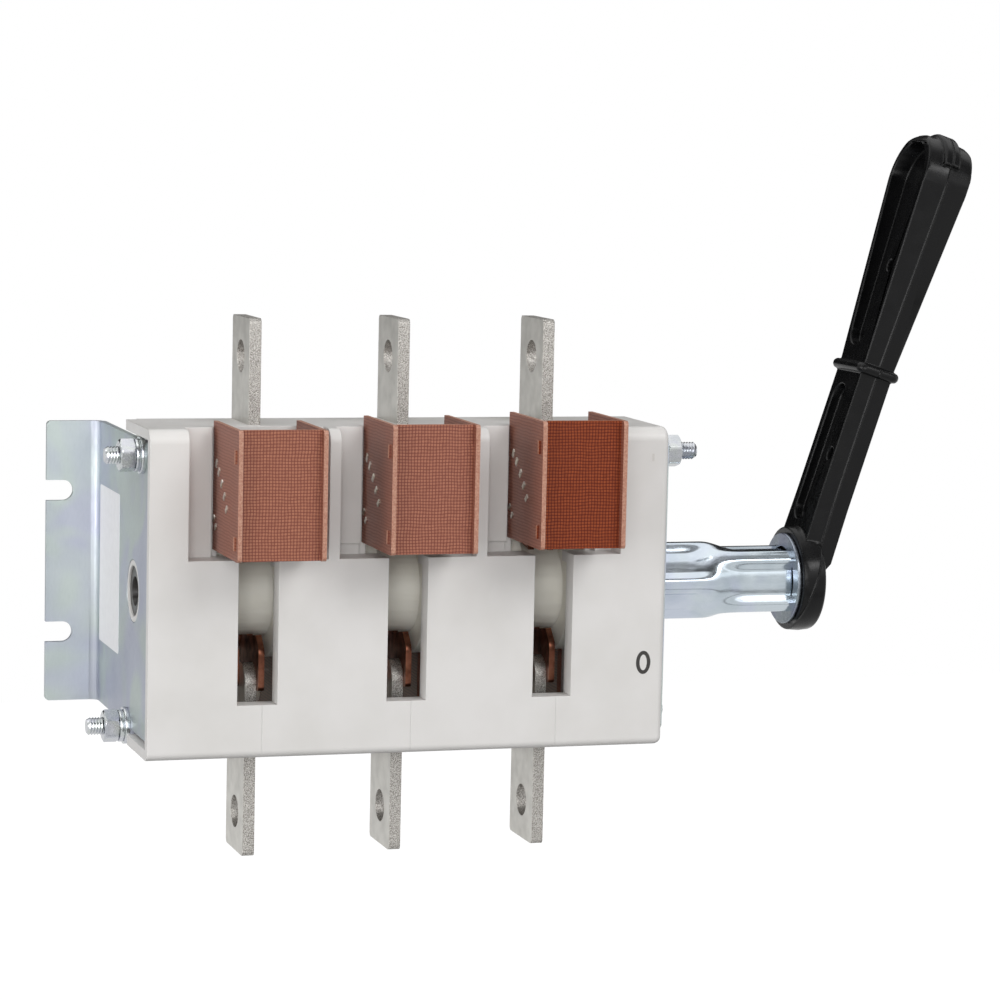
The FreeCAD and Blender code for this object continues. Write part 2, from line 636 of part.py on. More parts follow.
# Rotor: moving contact plates in an insulating drum, one per pole.
# The plates are flat, with a waist in the drum. shift is how far the front edge moves back at the
# shoulder.
def contactPlate(name, low, front, shift):
    high = low + knifeT
    f, w, b = axisY - front, axisY - waist, axisY + knifeBack
    zl, zs = knifeLong, shoulder
    zc = zs + 4.6
    loop = [(b, axisZ - zl), (f, axisZ - zl), (f, axisZ - zc), (f + shift, axisZ - zs),
            (w, axisZ - zs - 2.0), (w, axisZ + zs + 2.0), (f + shift, axisZ + zs), (f, axisZ + zc),
            (f, axisZ + zl), (b, axisZ + zl)]
    body = plate(name, "YZ_Plane", low, high, [loop])
    return roundEdges(body, name + "_tips", [
        (lambda e: alongX(e, number(f), number(axisZ - zl)) or alongX(e, number(f), number(axisZ + zl))
         or alongX(e, number(b), number(axisZ - zl)) or alongX(e, number(b), number(axisZ + zl)), 1.5),
        (lambda e: alongX(e, number(f), number(axisZ - zc)) or alongX(e, number(f), number(axisZ + zc)), 3.0)])


def drum(label, k):
    pole = poles[k]
    x0, x1 = pole - pocketLeft + sideGap, pole + pocketRight - sideGap
    parts = [rod(label + "_barrel", drumR, x0, x1, axisY, axisZ),
             rod(label + "_disc_l", flangeR, pole - flangeIn - flangeT, pole - flangeIn, axisY, axisZ),
             rod(label + "_disc_r", flangeR, pole + flangeIn, pole + flangeIn + flangeT, axisY, axisZ)]
    ribMid = pole + pocketRight + 1.9
    if k < 2:
        parts.append(rod(label + "_journal_r", journalR, x1 - eps, ribMid, axisY, axisZ))
        parts.append(turned(label + "_tenon", tenon, ribMid - eps, ribMid + 9.0, 0))
    else:
        parts.append(rod(label + "_journal_r", journalR, x1 - eps, ribMid + 1.9, axisY, axisZ))
        parts.append(turned(label + "_square", squareAf, ribMid, midX + leftFlute - 2.0, 45))
    left = pole - pocketLeft
    if k > 0:
        parts.append(rod(label + "_journal_l", journalR, left - 1.9, x0 + eps, axisY, axisZ))
    else:
        parts.append(rod(label + "_journal_l", journalR, left - 2.2, x0 + eps, axisY, axisZ))
        parts.append(rod(label + "_end", endR, leftWeb + 0.8, left, axisY, axisZ))
    solid = plus(label + "_solid", *parts)
    tools = []
    for side in (-1, 1):
        a = pole + barT / 2.0 + knifeGap if side > 0 else pole - barT / 2.0 - knifeGap - knifeT
        tools.append(block("%s_slit_%s" % (label, "r" if side > 0 else "l"), a, a + knifeT, axisY - waist,
                           axisY + knifeBack, axisZ - drumR - eps, axisZ + drumR + eps))
    if k > 0:
        tools.append(turned(label + "_socket", tenon + fitGap * 2, left - 1.9 - eps, left + 8.0, 0))
    else:
        tools.append(rod(label + "_end_hollow", 5.0, leftWeb - eps, leftWeb + 6.0, axisY, axisZ))
    return node(label, minus(label + "_cut", solid, *tools))


# A square bar along X on the shaft axis, its flats turned by angle.
def turned(name, flats, x0, x1, angle):
    bar = doc.addObject("Part::Prism", name)
    bar.Polygon = 4
    bind(bar, "Circumradius", flats * 0.70710678)
    bind(bar, "Height", x1 - x0)
    bar.Placement.Rotation = FreeCAD.Rotation(FreeCAD.Vector(0, 1, 0), 90).multiply(
        FreeCAD.Rotation(FreeCAD.Vector(0, 0, 1), 45 + angle))
    return put(bar, x0, axisY, axisZ)


for k, word in enumerate(("one", "two", "three")):
    drum("insulating_drum_" + word, k)
    right = contactPlate("knife_r_" + word, poles[k] + barT / 2.0 + knifeGap, knifeFront, 4.8)
    left = contactPlate("knife_l_" + word, poles[k] - barT / 2.0 - knifeGap - knifeT, knifeSet, -4.0)
    node("knife_pair_" + word, together("knives_" + word, left, right))


# Drive tube crimped on to two squares.
def grooves(tag, r, lowX, highX, ramp, angles, towardsRight):
    tools = []
    for i, angle in enumerate(angles):
        bar = doc.addObject("Part::Cylinder", "%s_%d" % (tag, i))
        bind(bar, "Radius", r)
        bind(bar, "Height", highX - lowX)
        cone = doc.addObject("Part::Cone", "%s_ramp_%d" % (tag, i))
        bind(cone, "Height", ramp)
        if towardsRight:
            bind(cone, "Radius1", r)
            bind(cone, "Radius2", r - fluteRise)
        else:
            bind(cone, "Radius1", r - fluteRise)
            bind(cone, "Radius2", r)
        for thing, start in ((bar, lowX), (cone, highX if towardsRight else lowX - ramp)):
            thing.Placement.Rotation = FreeCAD.Rotation(FreeCAD.Vector(0, 1, 0), 90)
            c, s = math.cos(math.radians(angle)), math.sin(math.radians(angle))
            put(thing, start, axisY + fluteAt * c, axisZ + fluteAt * s)
            tools.append(thing)
    return tools


def tube():
    a, b = midX + tubeLow, midX + tubeEnd
    l, r = midX + leftFlute, midX + rightFlute
    outer = minus("tube_outer", rod("tube_blank", tubeR, a, b, axisY, axisZ), *(
        grooves("groove_l", fluteR, a - eps, l, fluteRamp, (45, 135, 225, 315), True)
        + grooves("groove_r", fluteR, r, b + eps, fluteRamp, (0, 90, 180, 270), False)))
    inner = minus("tube_inner", rod("tube_core", tubeR - tubeWall, a - eps, b + eps, axisY, axisZ), *(
        grooves("crimp_l", fluteR + tubeWall, a - eps * 2, l, fluteRamp, (45, 135, 225, 315), True)
        + grooves("crimp_r", fluteR + tubeWall, r, b + eps * 2, fluteRamp, (0, 90, 180, 270), False)))
    return node("drive_tube", minus("tube_wall_cut", outer, inner))


tube()
discLow = midX + tubeEnd
node("handle_disc", ringAt("disc", discR, squareAf * 0.70710678 + 0.15, discLow, discLow + discT, axisY, axisZ))


# Handle lever, moulded in two halves that meet on its middle plane, each with its own draft.
def drafted(body, name, outline, length):
    for word, back in (("out", False), ("in", True)):
        pad = body.newObject("PartDesign::Pad", "%s_%s" % (name, word))
        pad.Profile = sketch(body, "%s_%s_outline" % (name, word), "YZ_Plane", 0.0, [outline])
        pad.Length = length
        pad.Reversed = back
        pad.TaperAngle = -draft.value
        body.Tip = pad
        doc.recompute()


def arm():
    half, r, top = armHalf, armTip, armLong
    # the flanks touch the round end at its tangent points
    widen = math.asin(r.value / math.hypot(half.value, top.value - 78.0))
    slope = widen - math.atan2(half.value, top.value - 78.0)
    u, v = r * math.cos(slope), top - r * math.sin(slope)
    body = doc.addObject("PartDesign::Body", "arm")
    drafted(body, "arm", [(-(half + 1.2), 0.0), (half + 1.2, 0.0), (half, 30.0), (half, 78.0), (u, v, top, 1),
                          (-u, v), (-half, 78.0), (-half, 30.0)], 14.0)
    side = doc.addObject("PartDesign::Body", "arm_side")
    thin, thick = armThin / 2.0, armThick / 2.0
    edge = top + r
    pad = side.newObject("PartDesign::Pad", "side_pad")
    pad.Profile = sketch(side, "side_outline", "XZ_Plane", -30.0, [
        [(-thin, 0.0), (thin, 0.0), (thin, 80.0), (thick, 146.0), (thick, edge - 4.5, edge - 4.5, 1),
         (thick - 4.5, edge), (-(thick - 4.5), edge, edge - 4.5, 1), (-thick, edge - 4.5), (-thick, 146.0),
         (-thin, 80.0)]])
    pad.Length = 60
    side.Tip = pad
    doc.recompute()
    bead = rounded("tip_bead_round", rod("tip_bead", r + beadHigh, -beadHalf, beadHalf, 0.0, top), [
        (lambda e: isinstance(e.Curve, Part.Circle), 1.2)])
    lower = block("tip_bead_lower", -10.0, 10.0, -30.0, 30.0, top - 30.0, top + 6.0)
    return plus("arm_blank", common("arm_sides", body, side), minus("tip_bead_top", bead, lower))


# Recesses in the face towards the switch, their floors 2.5 mm from the middle plane.
def recesses():
    body = doc.addObject("PartDesign::Body", "recess")
    low = [(-3.0, 65.5), (-3.0, 25.5, 25.5, 1), (7.6, 25.5), (7.6, 65.5, 65.5, 1)]
    high = [(-3.0, 91.5, 91.5, 1), (9.0, 91.5), (13.5, 147.5, 147.5, 1), (-12.2, 147.5), (-8.0, 137.0),
            (-3.6, 106.0)]
    pad = body.newObject("PartDesign::Pad", "recess_pad")
    pad.Profile = sketch(body, "recess_outline", "YZ_Plane", -14.0,
                         [low, high, ("ring", -6.9, 45.5, 2.3), ("ring", -7.6, 115.0, 2.0)])
    pad.Length = 11.5
    body.Tip = pad
    doc.recompute()
    return body


def collar():
    w, t = armHalf + collarOut, armThin / 2.0 + collarOut
    body = plate("collar", "XY_Plane", collarAt - collarT / 2.0, collarAt + collarT / 2.0,
                 [[(-t, -w), (t, -w), (t, w), (-t, w)]])
    corners = [(number(t) * i, number(w) * j) for i in (-1, 1) for j in (-1, 1)]
    roundEdges(body, "collar_corner", [(lambda e: any(alongZ(e, x, y) for x, y in corners), 3.5)])
    return roundEdges(body, "collar_bead", [
        (lambda e: abs(e.BoundBox.ZLength) < 0.01, collarT / 2.0 - 0.1)])


def hub(hubX):
    halves = []
    for word, x, wide in (("in", hubX - hubT / 2.0, 1), ("out", hubX, 0)):
        cone = doc.addObject("Part::Cone", "hub_" + word)
        slim = hubR - hubT * 0.5 * math.tan(math.radians(draft.value))
        bind(cone, "Radius1", slim if wide else hubR)
        bind(cone, "Radius2", hubR if wide else slim)
        bind(cone, "Height", hubT / 2.0)
        cone.Placement.Rotation = FreeCAD.Rotation(FreeCAD.Vector(0, 1, 0), 90)
        halves.append(put(cone, x, axisY, axisZ))
    whole = plus("hub_whole", *halves)
    outer = number(hubX + hubT / 2.0)
    return rounded("hub_round", whole, [
        (lambda e: abs(e.BoundBox.XMin - outer) < 0.01 and e.BoundBox.XLength < 0.01, 1.5)])


def lever():
    hubX = discLow + discT + hubT / 2.0
    upright = plus("arm_upright", minus("arm_cut", arm(), recesses()), collar())
    upright.Placement.Rotation = FreeCAD.Rotation(FreeCAD.Vector(0, 1, 0), lean.value)
    bind(upright, "Placement.Rotation.Angle", lean)
    put(upright, hubX, axisY, axisZ)
    spigot = turned("spigot", squareAf, midX + rightFlute - 6.0, hubX, 0)
    face = hubX - hubT / 2.0
    away = block("arm_trim", face - 40.0, face, axisY - 40.0, axisY + 40.0, axisZ - 40.0, axisZ + 30.0)
    x, z = hubX + hubT / 2.0, axisZ + 2.0
    under = plate("arm_under", "XZ_Plane", -110.0, 110.0, [[(x - 30.0, z - 30.0), (x + 40.0, z - 30.0),
                                                           (x + 40.0, z + 40.0)]])
    return node("handle_lever", plus("lever", minus("arm_trimmed", upright, away, under), hub(hubX), spigot))


lever()


# Arc chutes: laminate side plates, end plate and steel splitters. A rear chute is the front one
# turned half a turn about the shaft, with a foot that reaches its posts.
def chute(word, pole, lift, rear):
    def at(y, z):
        return (axisY * 2.0 - y, axisZ * 2.0 - z) if rear else (y, z)

    kind = "rear_" if rear else ""
    low, high = chuteLow + lift, chuteTop + lift
    tabIn, tabOut = chuteFront + frontSet, chuteFront + frontSet + lamT
    outline = [at(chuteBack, low), at(chuteBack, high), at(chuteFront, high), at(chuteFront, low)]
    if rear:
        outer, inner = at(chuteBack, low), at(chuteBack, high)
        outline = [(footY, outer[1]), (footY, footZ), (footBack, footZ), (footBack, inner[1]),
                   at(chuteFront, high), at(chuteFront, low)]
    corners = [[number(c) for c in at(chuteFront, z)] for z in (low, high)]
    sides = []
    for n, turn in (("left", -1), ("right", 1)):
        a = pole - chuteHalf if turn < 0 else pole + chuteHalf - lamT
        name = "%sside_%s_%s" % (kind, n, word)
        body = plate(name, "YZ_Plane", a, a + lamT, [outline])
        roundEdges(body, name + "_corner", [(lambda e: any(alongX(e, y, z) for y, z in corners), 1.2)])
        loops = [[at(tabIn, z + lift), at(tabOut, z + lift), at(tabOut, z + lift + tabLong),
                  at(tabIn, z + lift + tabLong)] for z in (tabLow, tabHigh)]
        pocket(body, name + "_slots", "YZ_Plane", a - eps, a + lamT + eps, loops)
        sides.append((n, body))
    inner = chuteHalf - lamT

    def across(name, reach, z0, z1):
        p, q = at(tabIn, z0), at(tabOut, z1)
        if rear:
            p, q = q, p
        return block(name, pole - reach, pole + reach, p[0], q[0], p[1], q[1])

    tag = "%sfront_%s" % (kind, word)
    frontPlate = plus(tag, across(tag + "_sheet", inner, low, high), *[
        across("%s_tab_%s" % (tag, n), chuteHalf + 0.6, z + lift, z + lift + tabLong)
        for z, n in ((tabLow, "low"), (tabHigh, "high"))])
    splitters = [splitter("%ssplit_%s_%d" % (kind, word, i), pole, lift, angle, i, rear)
                 for i, angle in enumerate(splitAngles)]
    stack = together("%ssplitters_%s" % (kind, word), *splitters)
    for n, body in sides:
        label = "rear_%s_plate_%s" % (n, word) if rear else "chute_%s_plate_%s" % (n, word)
        node(label, minus(label + "_slotted", body, stack))
    node("rear_end_plate_" + word if rear else "chute_front_plate_" + word, frontPlate)
    node("rear_splitter_plates_" + word if rear else "splitter_plates_" + word, stack)


# A steel plate with a notch for the knives and tabs through the side plates. Two of the five have
# inner tabs too.
def splitter(tag, pole, lift, angle, i, rear):
    inner = chuteHalf - lamT
    body = plate(tag, "XZ_Plane", -(splitT / 2.0), splitT / 2.0, [
        [(-inner, splitIn), (-(inner - 3.0), splitIn), (-notchHalf, notchR), (notchHalf, notchR),
         (inner - 3.0, splitIn), (inner, splitIn), (inner, splitOut), (-inner, splitOut)]])
    reach = chuteHalf + 0.4
    rows = [(53.6, 56.4)] + ([(37.2, 39.4)] if i in (2, 3) else [])
    ears = [block("%s_ear_%d_%s" % (tag, n, word), a, b, -(splitT / 2.0), splitT / 2.0, r0, r1)
            for n, (r0, r1) in enumerate(rows)
            for word, a, b in (("l", -reach, -(inner - 1.0)), ("r", inner - 1.0, reach))]
    one = plus(tag + "_plate", body, *ears)
    turn = angle + 180.0 if rear else angle
    one.Placement.Rotation = FreeCAD.Rotation(FreeCAD.Vector(1, 0, 0), number(turn))
    bind(one, "Placement.Rotation.Angle", turn)
    return put(one, pole, axisY, axisZ - lift if rear else axisZ + lift)


for k, word in enumerate(("one", "two", "three")):
    chute(word, poles[k], lifts[k], False)
for k, word in enumerate(("one", "two", "three")):
    chute(word, poles[k], lifts[1], True)

doc.recompute()
bad = [o.Name for o in doc.Objects if "Invalid" in o.State or "Error" in o.State]
if bad:
    raise SystemExit("failed: " + ", ".join(bad))
for thing in nodes:
    shape = thing.Shape
    if shape.isNull() or not shape.isValid():
        raise SystemExit("bad shape: " + thing.Label)
    box = shape.BoundBox
    print("%-26s solids %d  vol %9.1f  x %.1f..%.1f y %.1f..%.1f z %.1f..%.1f" % (
        thing.Label, len(shape.Solids), shape.Volume, box.XMin, box.XMax, box.YMin, box.YMax, box.ZMin, box.ZMax))
for thing in nodes:
    thing.Shape.exportStep("parts/%s.step" % thing.Label)
print("nodes", len(nodes))
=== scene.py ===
import json
import math
import bpy
import bmesh
from mathutils import Matrix, Vector


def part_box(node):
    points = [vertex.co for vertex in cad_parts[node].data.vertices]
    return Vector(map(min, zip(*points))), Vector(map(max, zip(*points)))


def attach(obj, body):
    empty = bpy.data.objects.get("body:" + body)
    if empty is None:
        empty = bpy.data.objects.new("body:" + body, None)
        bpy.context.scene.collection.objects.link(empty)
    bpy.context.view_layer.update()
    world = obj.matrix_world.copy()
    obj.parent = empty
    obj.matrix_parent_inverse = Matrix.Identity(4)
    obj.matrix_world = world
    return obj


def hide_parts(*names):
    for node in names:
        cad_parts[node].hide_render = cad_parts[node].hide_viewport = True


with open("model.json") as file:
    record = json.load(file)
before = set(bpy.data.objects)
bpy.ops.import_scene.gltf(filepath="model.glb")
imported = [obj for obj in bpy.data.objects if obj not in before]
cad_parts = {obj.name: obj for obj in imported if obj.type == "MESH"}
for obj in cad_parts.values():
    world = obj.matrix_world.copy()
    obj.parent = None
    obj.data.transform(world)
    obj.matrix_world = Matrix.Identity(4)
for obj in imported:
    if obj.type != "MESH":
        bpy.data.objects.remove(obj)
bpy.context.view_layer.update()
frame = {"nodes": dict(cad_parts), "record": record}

nodes = frame["nodes"]
scene = bpy.context.scene
mm = 0.001
print("stage: frame loaded")

# X runs along the shaft to the handle, -Y looks at the viewer, Z is up, the panel is at Y = 0
poles = ("one", "two", "three")
middlePoleX = sum(corner[0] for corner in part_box("upper_terminal_two")) / 2
shaftY, shaftZ = frame["record"]["behaviour"]["joints"][0]["pos_m"][1:]
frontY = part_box("middle_housing_left")[0][1]


# sRGB hex to the linear colour that the shaders take
def linear(code):
    parts = [int(code[i:i + 2], 16) / 255 for i in (1, 3, 5)]
    return (*(c / 12.92 if c <= 0.04045 else ((c + 0.055) / 1.055) ** 2.4 for c in parts), 1.0)


# Adds a shader node, sets it, and links or fills its inputs; to is a socket that it feeds
def addNode(tree, kind, inputs=None, out=0, to=None, **settings):
    n = tree.nodes.new("ShaderNode" + kind)
    for key, value in settings.items():
        setattr(n, key, value)
    for key, value in (inputs or {}).items():
        if isinstance(value, bpy.types.NodeSocket):
            tree.links.new(value, n.inputs[key])
        else:
            n.inputs[key].default_value = value
    if to is not None:
        tree.links.new(n.outputs[out], to)
    return n.outputs[out]


# A material with its typical values; gives back it, its node tree and its shader's inputs
def startMaterial(name, color, roughness, metallic=0.0, ior=None):
    m = bpy.data.materials.new(name)
    m.use_nodes = True
    shader = m.node_tree.nodes["Principled BSDF"].inputs
    shader["Base Color"].default_value = linear(color)
    shader["Roughness"].default_value = roughness
    shader["Metallic"].default_value = metallic
    if ior:
        shader["IOR"].default_value = ior
    return m, m.node_tree, shader


# How squarely the surface faces along an axis: 1 where it is square to it, 0 where it is in line
def facingAlong(tree, axis):
    normal = addNode(tree, "TexCoord", out="Normal")
    part = addNode(tree, "SeparateXYZ", {"Vector": normal}, axis)
    return addNode(tree, "Math", {0: part}, operation="ABSOLUTE")


# Real skin grain is near 0.1 mm; 0.6 mm is what shows at this size. The edge radius only rounds the
# look of edges whose triangles are too fine for a bevel, here and in the materials below.
polyesterSizes = {"clouds": 22 * mm, "wear": 5 * mm, "grain": 0.6 * mm, "grainHigh": 0.01 * mm,
                  "edge": 0.4 * mm}


# Glass-filled polyester, compression moulded: even satin colour, faint clouds, fine orange peel
def mouldedPolyester(name, color, cloudColor, roughness):
    s = polyesterSizes
    m, tree, shader = startMaterial(name, color, roughness, ior=1.5)
    at = addNode(tree, "TexCoord", out="Object")
    flow = addNode(tree, "TexNoise", {"Vector": at, "Scale": 1 / s["clouds"], "Detail": 3.0})
    flow = addNode(tree, "MapRange", {"Value": flow, "From Min": 0.35, "From Max": 0.7})
    addNode(tree, "Mix", {0: flow, 6: linear(color), 7: linear(cloudColor)}, 2,
            shader["Base Color"], data_type="RGBA")
    wear = addNode(tree, "TexNoise", {"Vector": at, "Scale": 1 / s["wear"], "Detail": 4.0})
    addNode(tree, "MapRange", {"Value": wear, "From Min": 0.3, "From Max": 0.7,
                               "To Min": roughness - 0.05, "To Max": roughness + 0.08},
            to=shader["Roughness"])
    grain = addNode(tree, "TexNoise", {"Vector": at, "Scale": 1 / s["grain"], "Detail": 2.0})
    rounded = addNode(tree, "Bevel", {"Radius": s["edge"]}, samples=6)
    addNode(tree, "Bump", {"Height": grain, "Distance": s["grainHigh"], "Strength": 0.4,
                           "Normal": rounded}, to=shader["Normal"])
    return m


# The flash line is where the two halves of the mould met, on the middle plane of the leaning arm
nylonSizes = {"scuffs": 7 * mm, "scuffDeep": 0.06 * mm, "dust": 0.5 * mm, "edge": 0.7 * mm,
              "lean": 18, "hubHalf": 4.3 * mm, "flashHalf": 0.6 * mm, "flashHigh": 0.35 * mm}


# Black glass-filled nylon, injection moulded: near black, satin, slightly scuffed
def mouldedNylon():
    s = nylonSizes
    m, tree, shader = startMaterial("mouldedNylon", "#080809", 0.26, ior=1.53)
    shader["Specular IOR Level"].default_value = 0.21
    at = addNode(tree, "TexCoord", out="Object")
    scuff = addNode(tree, "TexNoise", {"Vector": at, "Scale": 1 / s["scuffs"], "Detail": 6.0,
                                       "Roughness": 0.65})
    addNode(tree, "MapRange", {"Value": scuff, "From Min": 0.35, "From Max": 0.7, "To Min": 0.2,
                               "To Max": 0.34}, to=shader["Roughness"])
    dust = addNode(tree, "TexNoise", {"Vector": at, "Scale": 1 / s["dust"], "Detail": 3.0})
    dust = addNode(tree, "MapRange", {"Value": dust, "From Min": 0.66, "From Max": 0.76})
    addNode(tree, "Mix", {0: dust, 6: linear("#080809"), 7: linear("#1d1c1d")}, 2,
            shader["Base Color"], data_type="RGBA")
    rounded = addNode(tree, "Bevel", {"Radius": s["edge"]}, samples=6)
    scuffed = addNode(tree, "Bump", {"Height": scuff, "Distance": s["scuffDeep"],
                                     "Strength": 0.25, "Normal": rounded})
    lean = math.radians(s["lean"])
    across = (math.cos(lean), 0.0, -math.sin(lean))
    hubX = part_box("handle_disc")[1][0] + s["hubHalf"]
    start = across[0] * hubX + across[2] * shaftZ
    off = addNode(tree, "VectorMath", {0: at, 1: across}, 1, operation="DOT_PRODUCT")
    off = addNode(tree, "Math", {0: off, 1: start}, operation="SUBTRACT")
    off = addNode(tree, "Math", {0: off}, operation="ABSOLUTE")
    line = addNode(tree, "MapRange", {"Value": off, "From Min": s["flashHalf"], "From Max": 0.0},
                   interpolation_type="SMOOTHSTEP")
    addNode(tree, "Bump", {"Height": line, "Distance": s["flashHigh"], "Strength": 1.0,
                           "Normal": scuffed}, to=shader["Normal"])
    return m


# Blue-passivated zinc on rolled steel: bluish silver, faint straw and rose clouds, drawn-out grain.
# film is the share of straw and rose. Real crystals are finer; 0.7 mm is what shows at this size.
def blueZinc(name, color, tint, roughness, cloudSize, grain=(1, 1, 1), film=0.12,
             relief=0.006 * mm, crystal=0.7 * mm):
    m, tree, shader = startMaterial(name, color, roughness, 1.0)
    at = addNode(tree, "TexCoord", out="Object")
    cloud = addNode(tree, "TexNoise", {"Vector": at, "Scale": 1 / cloudSize, "Detail": 3.0})
    cloud = addNode(tree, "MapRange", {"Value": cloud, "From Min": 0.38, "From Max": 0.66})
    drift = addNode(tree, "TexNoise", {"Vector": at, "Scale": 0.9 / cloudSize, "Detail": 1.0,
                                       "Distortion": 1.2})
    hues = addNode(tree, "MapRange", {"Value": drift, "From Min": 0.4, "From Max": 0.6})
    base = addNode(tree, "Mix", {0: cloud, 6: linear(color), 7: linear(tint)}, 2, data_type="RGBA")
    rose = addNode(tree, "Mix", {0: hues, 6: linear("#d8d2b0"), 7: linear("#c6a9c6")}, 2,
                   data_type="RGBA")
    addNode(tree, "Mix", {0: film, 6: base, 7: rose}, 2, shader["Base Color"], data_type="RGBA")
    drawn = addNode(tree, "Mapping", {"Vector": at, "Scale": grain})
    crystals = addNode(tree, "TexNoise", {"Vector": drawn, "Scale": 1 / crystal, "Detail": 4.0})
    addNode(tree, "MapRange", {"Value": crystals, "From Min": 0.3, "From Max": 0.75,
                               "To Min": roughness - 0.05, "To Max": roughness + 0.1},
            to=shader["Roughness"])
    addNode(tree, "Bump", {"Height": crystals, "Distance": relief, "Strength": 0.5},
            to=shader["Normal"])
    return m


# Sheared grain is 0.2 to 0.5 mm across
tinSizes = {"blotches": 6 * mm, "grain": 0.34 * mm, "grainHigh": 0.16 * mm, "edge": 0.35 * mm}


# Hot-tinned copper bar: smooth satin faces, and sheared edges with a coarse sparkling skin
def tinnedCopper():
    s = tinSizes
    m, tree, shader = startMaterial("tinnedCopper", "#c6c4bf", 0.42, 0.9)
    at = addNode(tree, "TexCoord", out="Object")
    sheared = addNode(tree, "MapRange", {"Value": facingAlong(tree, "X"), "From Min": 0.75,
                                         "From Max": 0.55})
    blotch = addNode(tree, "TexNoise", {"Vector": at, "Scale": 1 / s["blotches"], "Detail": 4.0})
    blotch = addNode(tree, "MapRange", {"Value": blotch, "From Min": 0.35, "From Max": 0.7})
    flat = addNode(tree, "Mix", {0: blotch, 6: linear("#d8d6d0"), 7: linear("#c4c2bc")}, 2,
                   data_type="RGBA")
    speck = addNode(tree, "TexNoise", {"Vector": at, "Scale": 1 / s["grain"], "Detail": 3.0,
                                       "Roughness": 0.7})
    sharp = addNode(tree, "MapRange", {"Value": speck, "From Min": 0.42, "From Max": 0.6})
    grains = addNode(tree, "Mix", {0: sharp, 6: linear("#7a7671"), 7: linear("#d0cdc8")}, 2,
                     data_type="RGBA")
    addNode(tree, "Mix", {0: sheared, 6: flat, 7: grains}, 2, shader["Base Color"],
            data_type="RGBA")
    rounded = addNode(tree, "Bevel", {"Radius": s["edge"]}, samples=6)
    share = addNode(tree, "MapRange", {"Value": sheared, "To Min": 0.12, "To Max": 1.0})
    lift = addNode(tree, "Math", {0: speck, 1: share}, operation="MULTIPLY")
    addNode(tree, "Bump", {"Height": lift, "Distance": s["grainHigh"], "Strength": 0.8,
                           "Normal": rounded}, to=shader["Normal"])
    return m


# Rolled electrical copper, left bare and browned by the air in patches of about 4 mm
def rolledCopper(patch=4 * mm):
    m, tree, shader = startMaterial("rolledCopper", "#96614c", 0.36, 1.0)
    at = addNode(tree, "TexCoord", out="Object")
    brown = addNode(tree, "TexNoise", {"Vector": at, "Scale": 1 / patch, "Detail": 4.0})
    brown = addNode(tree, "MapRange", {"Value": brown, "From Min": 0.35, "From Max": 0.7})
    addNode(tree, "Mix", {0: brown, 6: linear("#a06a54"), 7: linear("#603a2c")}, 2,
            shader["Base Color"], data_type="RGBA")
    addNode(tree, "MapRange", {"Value": brown, "To Min": 0.3, "To Max": 0.5},
            to=shader["Roughness"])
    return m


# Threads are 1.05 mm apart, as counted in the photograph, and wander by up to half of wanderBy
clothSizes = {"thread": 1.05 * mm, "wander": 9 * mm, "wanderBy": 1.1 * mm, "patch": 1.7 * mm,
              "fuzz": 0.55 * mm, "threadHigh": 0.07 * mm}


# Cotton cloth in phenolic resin, pressed and sawn: the weave shows on the faces square to axis, and
# the sawn edges are paler and fuzzy
def clothLaminate(name, thread, gap, axis, gloss, shine=0.5, edge="#b98c76"):
    s = clothSizes
    m, tree, shader = startMaterial(name, thread, gloss, ior=1.55)
    shader["Specular IOR Level"].default_value = shine
    at = addNode(tree, "TexCoord", out="Object")
    wander = addNode(tree, "TexNoise", {"Vector": at, "Scale": 1 / s["wander"], "Detail": 2.0})
    wander = addNode(tree, "Math", {0: wander, 1: 0.5}, operation="SUBTRACT")
    wander = addNode(tree, "Math", {0: wander, 1: s["wanderBy"]}, operation="MULTIPLY")
    waves = []
    for k in "XYZ".replace(axis, ""):
        across = addNode(tree, "SeparateXYZ", {"Vector": at}, k)
        across = addNode(tree, "Math", {0: across, 1: wander}, operation="ADD")
        turn = addNode(tree, "Math", {0: across, 1: 2 * math.pi / s["thread"]},
                       operation="MULTIPLY")
        wave = addNode(tree, "Math", {0: turn}, operation="SINE")
        waves.append(addNode(tree, "MapRange", {"Value": wave, "From Min": -1.0}))
    lumps = addNode(tree, "Math", {0: waves[0], 1: waves[1]}, operation="MULTIPLY")
    cells = addNode(tree, "MapRange", {"Value": lumps, "From Min": 0.02, "From Max": 0.24})
    # patches rich in resin or in thread, a few threads wide
    patch = addNode(tree, "TexNoise", {"Vector": at, "Scale": 1 / s["patch"], "Detail": 4.0,
                                       "Roughness": 0.7})
    patch = addNode(tree, "MapRange", {"Value": patch, "From Min": 0.4, "From Max": 0.64,
                                       "To Min": 1.0, "To Max": 0.62})
    cells = addNode(tree, "Math", {0: cells, 1: patch}, operation="MULTIPLY")
    cloth = addNode(tree, "Mix", {0: cells, 6: linear(gap), 7: linear(thread)}, 2,
                    data_type="RGBA")
    fuzz = addNode(tree, "TexNoise", {"Vector": at, "Scale": 1 / s["fuzz"], "Detail": 3.0,
                                      "Roughness": 0.75})
    fuzz = addNode(tree, "MapRange", {"Value": fuzz, "From Min": 0.38, "From Max": 0.64})
    sawn = addNode(tree, "Mix", {0: fuzz, 6: linear(edge), 7: linear(thread)}, 2,
                   data_type="RGBA")
    face = addNode(tree, "MapRange", {"Value": facingAlong(tree, axis), "From Min": 0.5,
                                      "From Max": 0.7})
    addNode(tree, "Mix", {0: face, 6: sawn, 7: cloth}, 2, shader["Base Color"], data_type="RGBA")
    addNode(tree, "Bump", {"Height": lumps, "Distance": s["threadHigh"], "Strength": 0.7},
            to=shader["Normal"])
    return m


